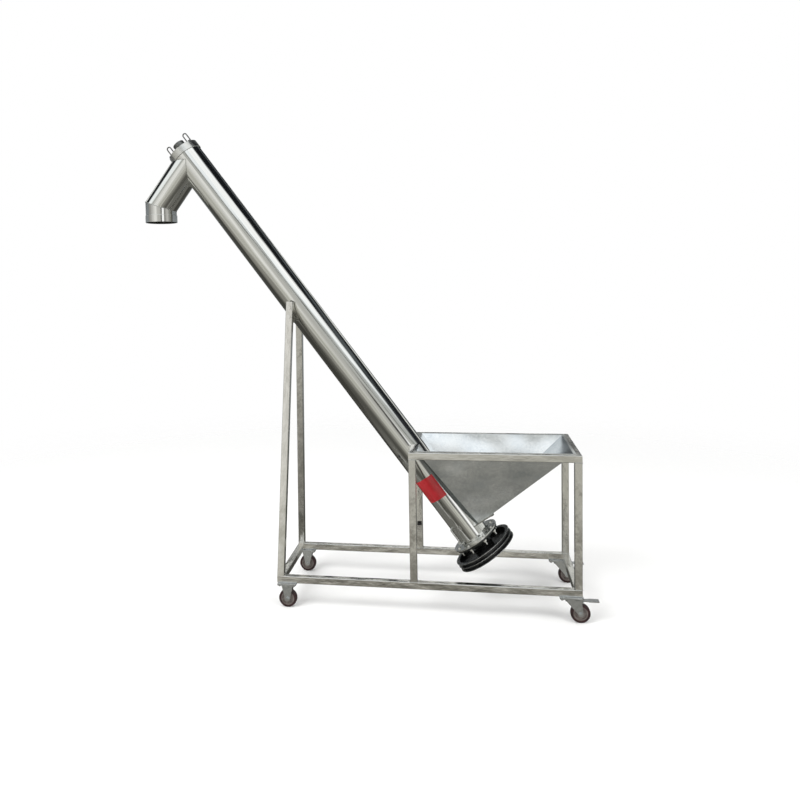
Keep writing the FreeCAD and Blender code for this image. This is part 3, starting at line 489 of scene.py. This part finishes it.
def circle(centre, radius, first, second, start=0.0, end=2.0 * math.pi):
    """Points round an arc, close enough together for a weld's ripples."""
    count = max(8, round(radius * (end - start) / drop_spacing) * steps_per_drop)
    angles = [start + (end - start) * k / count for k in range(count)]
    return [centre + (first * math.cos(a) + second * math.sin(a)) * radius for a in angles]


print("a drop every", drop_spacing * 1000, "mm")

# %% [markdown]
# The spout hangs from the branch at a mitre, and the branch grows out of the barrel. Both seams
# are worked out, so that the beads stay on them if the tubes change. The mitre is the plane
# halfway between the two directions. Where the branch meets the barrel, each point of the seam
# lies on the barrel's wall too, and its distance from the barrel's middle plane says how deep.

# %% Welds on the barrel, the branch and the spout
x_way = Vector((1.0, 0.0, 0.0))
weld_radius = 0.002
weld_swell = 0.15
end_ring_height = 0.04

flange_top = foot + up_barrel * rise_span("lower_flange")[1]
collar_foot = foot + up_barrel * rise_span("top_collar")[0]
spout_low, spout_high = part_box("discharge_spout")
mouth = Vector(((spout_low[0] + spout_high[0]) / 2, 0.0, spout_low[2]))
mitre_normal = (down_branch - upright).normalized()
half_turn = (math.pi / 2 - branch_slope) / 2
knee = Vector((mouth.x, 0.0, spout_high[2] - barrel_radius * math.tan(half_turn)))
branch_root = intersect_line_line(foot, foot + up_barrel, knee, knee - down_branch)[0]
branch_side = down_branch.cross(across)


def on_mitre(point):
    """Slide a point straight up or down to the mitre's plane."""
    return point - upright * ((point - knee).dot(mitre_normal) / mitre_normal.z)


def on_saddle(point):
    """Slide a point along the branch to where the branch meets the barrel's wall."""
    from_root = point - branch_root
    depth = math.sqrt(max(barrel_radius ** 2 - from_root.y ** 2, 0.0))
    return point - down_branch * ((from_root.dot(upper_side) + depth) / down_branch.dot(upper_side))


def clear_of_branch(point):
    """Whether a point lies outside the branch's tube."""
    from_root = point - branch_root
    return (from_root - down_branch * from_root.dot(down_branch)).length > barrel_radius


round_knee = circle(knee, barrel_radius, across, x_way)
round_root = circle(branch_root, barrel_radius, across, branch_side)
seams = {
    "flange_weld": circle(flange_top, barrel_radius, across, upper_side),
    "mitre_weld": [on_mitre(point) for point in round_knee],
    "branch_weld": [on_saddle(point) for point in round_root],
    "end_ring_weld": circle(mouth + upright * end_ring_height, barrel_radius, across, x_way),
}
for name, path in seams.items():
    heart = sum(path, Vector()) / len(path)
    bead(name, path, heart, weld_radius, weld_swell, "stand", "satin_stainless")

collar_path = circle(collar_foot, barrel_radius, across, upper_side, -math.pi / 2, 1.5 * math.pi)
collar_path = [point for point in collar_path if clear_of_branch(point)]
bead("collar_weld", collar_path, collar_foot, weld_radius, weld_swell, "stand", "satin_stainless",
     closed=False)
print(len(seams) + 1, "round welds; the mitre turns", round(math.degrees(2 * half_turn), 1), "degrees")

# %% [markdown]
# Each post of the frame is welded to the rails above and below it, all the way round. A bead can
# follow any closed path, so this one goes round a square in place of a circle.

# %% Welds at the ends of the posts
def square(centre, half):
    """Points round a square of tube, close enough together for a weld's ripples."""
    corners = [Vector((half, half, 0.0)), Vector((-half, half, 0.0)),
               Vector((-half, -half, 0.0)), Vector((half, -half, 0.0))]
    count = round(2.0 * half / drop_spacing) * steps_per_drop
    return [centre + corners[c].lerp(corners[(c + 1) % 4], k / count)
            for c in range(4) for k in range(count)]


posts = [name for name in nodes if name.startswith("post_")]
for name in posts:
    low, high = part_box(name)
    half = (high[0] - low[0]) / 2
    for end, height in (("foot", low[2]), ("head", high[2])):
        centre = Vector(((low[0] + high[0]) / 2, (low[1] + high[1]) / 2, height))
        bead(name + "_" + end + "_weld", square(centre, half), centre, weld_radius, weld_swell,
             "stand", "satin_stainless")
print("welds on", len(posts), "posts")

# %% [markdown]
# The rim's outer edges and the rib between its two grooves show thin bright lines, which are painted
# highlights here: rings of bright steel on the black pulley. The same bead without a ripple gives a
# rounded edge that catches the light. The three turn with the pulley, so they ride on the screw.

# %% Bright rings on the pulley, painted highlights
bare_edge_radius = 0.0011
rim_band = 0.0005

pulley_points = [vertex.co - foot for vertex in nodes["drive_pulley"].data.vertices]
reach = [((p - up_barrel * p.dot(up_barrel)).length, p.dot(up_barrel)) for p in pulley_points]
pulley_radius = max(distance for distance, rise in reach)
rim_rises = [rise for distance, rise in reach if distance > pulley_radius - rim_band]
rim_low, rim_high = min(rim_rises), max(rim_rises)
rim_places = {"upper": rim_high, "middle": (rim_high + rim_low) / 2, "lower": rim_low}
# Each ring is a painted highlight: bright steel where the black pulley shows a bright line.
for place, rise in rim_places.items():
    centre = foot + up_barrel * rise
    edge = circle(centre, pulley_radius - bare_edge_radius / 2, across, upper_side)
    bead("pulley_" + place + "_bare_edge", edge, centre, bare_edge_radius, 0.0, "screw",
         "bright_fasteners")
print("pulley", round(pulley_radius * 2000), "mm across, with", len(rim_places), "highlight rings")

# %% [markdown]
# One rear post shows a small dark square on its front face. It is a thin flat block with rounded
# edges, in black phenolic, set half into the post's front face.

# %% Dark square on the rear post
plug_width = 0.026
plug_height = 0.33
plug_proud = 0.0015
plug_rounding = 0.6 * plug_proud

post_low, post_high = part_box("post_rear_left")
plug_mesh = bpy.data.meshes.new("post_plug")
shape = bmesh.new()
bmesh.ops.create_cube(shape, size=1.0)
bmesh.ops.scale(shape, vec=(plug_width, 2.0 * plug_proud, plug_width), verts=shape.verts)
bmesh.ops.bevel(shape, geom=shape.edges[:], offset=plug_rounding, segments=2, affect="EDGES")
shape.to_mesh(plug_mesh)
shape.free()
plug_mesh.materials.append(finishes["knob_phenolic"])
plug = bpy.data.objects.new("post_plug", plug_mesh)
bpy.context.scene.collection.objects.link(plug)
plug.location = ((post_low[0] + post_high[0]) / 2, post_low[1], plug_height)
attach(plug, "stand")
print("plug", plug_width * 1000, "mm wide")

# %% [markdown]
# Polished metal shows only what surrounds it, so the room matters more than the lamps. Real walls
# and doors could be built, but soft bands of colour by direction reflect the same and cost nothing,
# so the room is painted into the world. In front it has warm grey walls in bands, a few upright
# panels at eye level, a window straight ahead, a white wall high on the left and a white ceiling.
# Behind, it is dark with a pale strip a little above eye level and a pale ceiling. The ground is
# blotched where light falls through doors, and dark right below, in the machine's own shade. Only
# reflections see this room: seen directly it is plain white, and it lights rough surfaces evenly.

# %% Helpers for the room
def bands(tree, place, stops):
    """Colour that runs through the stops as place goes from -1 to 1."""
    share = add_node(tree, "ShaderNodeMapRange", {"Value": place, "From Min": -1.0, "From Max": 1.0})
    strip = add_node(tree, "ShaderNodeValToRGB", {"Fac": share.outputs["Result"]})
    points = strip.color_ramp.elements
    for point, (where, code) in zip((points[0], points[1]), (stops[0], stops[-1])):
        point.position, point.color = (where + 1) / 2, linear(code)
    for where, code in stops[1:-1]:
        points.new((where + 1) / 2).color = linear(code)
    return strip.outputs["Color"]


def lay(tree, under, over, *limits):
    """Lay a colour over another. A limit is a value, where the layer is full, and where it ends."""
    share = 1.0
    for value, full, gone in limits:
        share = add_node(tree, "ShaderNodeMapRange",
                         {"Value": value, "From Min": full, "From Max": gone,
                          "To Min": share, "To Max": 0.0}).outputs["Result"]
    return mix_colours(tree, share, under, over)


print("room helpers ready")

# %% [markdown]
# Each band is a place and the colour there. Heights run from -1 straight down to 1 straight up,
# and sides from -1 on the left to 1 on the right, both with 0 level with the surface that mirrors
# them. Real walls have doors, racks and people in front of them, so a noise makes every border
# ragged, twice as much behind as in front.

# %% Room for the reflections
front_heights = [
    (-1.0, "#A3A199"), (-0.62, "#4E4D48"), (-0.56, "#4E4D48"), (-0.48, "#62615B"),
    (-0.4, "#85837C"), (-0.33, "#86847D"), (-0.27, "#BDBCB4"), (-0.2, "#A6A59D"),
    (-0.12, "#C4C3BB"), (0.0, "#CFCEC7"), (0.1, "#ABAAA3"), (0.2, "#C8C8C2"),
    (0.3, "#A5A6A2"), (0.37, "#BDBEBA"), (0.4, "#4A4B48"), (0.44, "#B4B6B3"),
    (0.5, "#A3A5A3"), (0.535, "#F6FAFC"), (0.68, "#FFFFFF"), (1.0, "#F4F8FA")]
side_panels = [
    (-1.0, "#8C8B87"), (-0.87, "#9F9E9A"), (-0.45, "#DAD9D5"), (-0.3, "#E5E4E0"),
    (-0.1, "#BDBCB7"), (0.27, "#B0AFAA"), (0.32, "#3E3D3A"), (0.42, "#42413E"),
    (0.48, "#FFFFFF"), (0.6, "#FFFFFF"), (0.67, "#71706C"), (0.76, "#989793"),
    (0.9, "#BAB9B5"), (1.0, "#8C8B87")]
rear_heights = [
    (-1.0, "#A3A199"), (-0.6, "#3C3B37"), (-0.3, "#454541"), (-0.12, "#747777"),
    (0.1, "#85898B"), (0.15, "#2A2C2D"), (0.24, "#2A2C2D"), (0.29, "#DCDDD9"),
    (0.37, "#DCDDD9"), (0.42, "#1B1D20"), (0.53, "#1B1D20"), (0.6, "#5A5F61"),
    (0.67, "#131518"), (0.86, "#131518"), (0.94, "#E8EEF2"), (1.0, "#F4F8FA")]
ground_blotches = [(0.42, "#75746E"), (0.56, "#D4D3CC")]
ground_near_machine = "#6B6A65"
window_colour = "#F6FAFD"
side_wall_colour = "#F2F5F5"
front_raggedness, rear_raggedness = 0.09, 0.2
clutter_scale = 7.0
blotch_scale = 2.6
eye_level = 0.08
room_strength = 1.25
even_strength = 0.9
white = (1.0, 1.0, 1.0, 1.0)

world = bpy.data.worlds.new("studio")
bpy.context.scene.world = world
world.use_nodes = True
tree = world.node_tree
tree.nodes.clear()
ray = add_node(tree, "ShaderNodeTexCoord").outputs["Generated"]
clutter = add_node(tree, "ShaderNodeTexNoise",
                   {"Vector": ray, "Scale": clutter_scale, "Detail": 3.0}).outputs["Color"]
shift = add_node(tree, "ShaderNodeVectorMath", {0: clutter, 1: (0.5, 0.5, 0.5)},
                 operation="SUBTRACT").outputs[0]
front_ray, rear_ray = [
    add_node(tree, "ShaderNodeVectorMath", {0: shift, 1: (amount,) * 3, 2: ray},
             operation="MULTIPLY_ADD").outputs[0]
    for amount in (front_raggedness, rear_raggedness)]
side, depth, height = add_node(tree, "ShaderNodeSeparateXYZ", {"Vector": front_ray}).outputs
rear_height = add_node(tree, "ShaderNodeSeparateXYZ", {"Vector": rear_ray}).outputs["Z"]
off_centre = add_node(tree, "ShaderNodeMath", {0: side}, operation="ABSOLUTE").outputs[0]
above_eyes = add_node(tree, "ShaderNodeMath", {0: height, 1: eye_level},
                      operation="SUBTRACT").outputs[0]
off_level = add_node(tree, "ShaderNodeMath", {0: above_eyes}, operation="ABSOLUTE").outputs[0]
blotch = add_node(tree, "ShaderNodeTexNoise",
                  {"Vector": ray, "Scale": blotch_scale, "Detail": 1.0}).outputs["Fac"]

room = bands(tree, height, front_heights)
room = lay(tree, room, bands(tree, side, side_panels), (off_level, 0.12, 0.2))
room = lay(tree, room, linear(window_colour), (off_centre, 0.2, 0.26), (height, 0.46, 0.42))
room = lay(tree, room, linear(side_wall_colour), (side, -0.62, -0.5), (height, 0.38, 0.33))
room = lay(tree, room, bands(tree, rear_height, rear_heights), (depth, -0.06, -0.24))
ground = bands(tree, blotch, ground_blotches)
ground = lay(tree, ground, linear(ground_near_machine), (depth, -0.43, -0.475))
room = lay(tree, room, ground, (height, -0.7, -0.62))
reflected = add_node(tree, "ShaderNodeBackground", {"Color": room, "Strength": room_strength})
even = add_node(tree, "ShaderNodeBackground", {"Color": white, "Strength": even_strength})
backdrop = add_node(tree, "ShaderNodeBackground", {"Color": white, "Strength": 1.0})
rays = add_node(tree, "ShaderNodeLightPath").outputs
lit = add_node(tree, "ShaderNodeMixShader",
               {0: rays["Is Glossy Ray"], 1: even.outputs[0], 2: reflected.outputs[0]})
seen = add_node(tree, "ShaderNodeMixShader",
                {0: rays["Is Camera Ray"], 1: lit.outputs[0], 2: backdrop.outputs[0]})
add_node(tree, "ShaderNodeOutputWorld", {"Surface": seen.outputs[0]})
print("room with", len(front_heights) + len(side_panels) + len(rear_heights), "bands")

# %% [markdown]
# The floor is a pale matt sheet that takes the soft shadow, which makes the casters stand on it.
# A plain sheet would end in a hard horizon, so it turns clear with distance and the white backdrop
# takes over. The metal doesn't mirror it, because the painted room already holds a ground.

# %% Floor
floor_reach = 9.0
fade_start, fade_end = 2.2, 6.5
floor_mesh = bpy.data.meshes.new("floor")
shape = bmesh.new()
bmesh.ops.create_grid(shape, x_segments=1, y_segments=1, size=floor_reach)
shape.to_mesh(floor_mesh)
shape.free()
floor = bpy.data.objects.new("floor", floor_mesh)
bpy.context.scene.collection.objects.link(floor)
floor.visible_glossy = False
material, tree, shader = new_finish("pale_floor")
shader.inputs["Base Color"].default_value = linear("#F6F6F5")
shader.inputs["Roughness"].default_value = 0.9
shader.inputs["Specular IOR Level"].default_value = 0.0
place = add_node(tree, "ShaderNodeTexCoord").outputs["Object"]
distance = add_node(tree, "ShaderNodeVectorMath", {0: place}, operation="LENGTH").outputs["Value"]
fade = add_node(tree, "ShaderNodeMapRange",
                {"Value": distance, "From Min": fade_start, "From Max": fade_end},
                interpolation_type="SMOOTHSTEP").outputs["Result"]
clear = add_node(tree, "ShaderNodeBsdfTransparent")
faded = add_node(tree, "ShaderNodeMixShader", {0: fade, 1: shader.outputs[0], 2: clear.outputs[0]})
tree.links.new(faded.outputs[0], tree.nodes["Material Output"].inputs["Surface"])
floor_mesh.materials.append(material)
print("floor reaches", floor_reach, "metres")

# %% [markdown]
# The room lights everything evenly, so two soft boxes add direction: a large one up in front and to
# the left, and a weaker one to the right. Their size keeps the shadows soft, where a small lamp of
# the same power would draw hard ones. The metal doesn't mirror them, as they aren't in the room.

# %% Soft boxes
def soft_box(name, place, target, size, power):
    """A square lamp of the given size in metres and power in watts, turned to its target."""
    lamp = bpy.data.lights.new(name, "AREA")
    lamp.shape = "SQUARE"
    lamp.size = size
    lamp.energy = power
    holder = bpy.data.objects.new(name, lamp)
    bpy.context.scene.collection.objects.link(holder)
    holder.location = place
    holder.rotation_euler = (target - Vector(place)).to_track_quat("-Z", "Y").to_euler()
    holder.visible_glossy = False
    print(name, "gives", power, "W over", size, "m")


machine_middle = (solid_low + solid_high) / 2
soft_box("key", place=(-3.0, -3.5, 5.0), target=machine_middle, size=3.0, power=220.0)
soft_box("fill", place=(4.0, -2.5, 3.5), target=machine_middle, size=2.5, power=90.0)
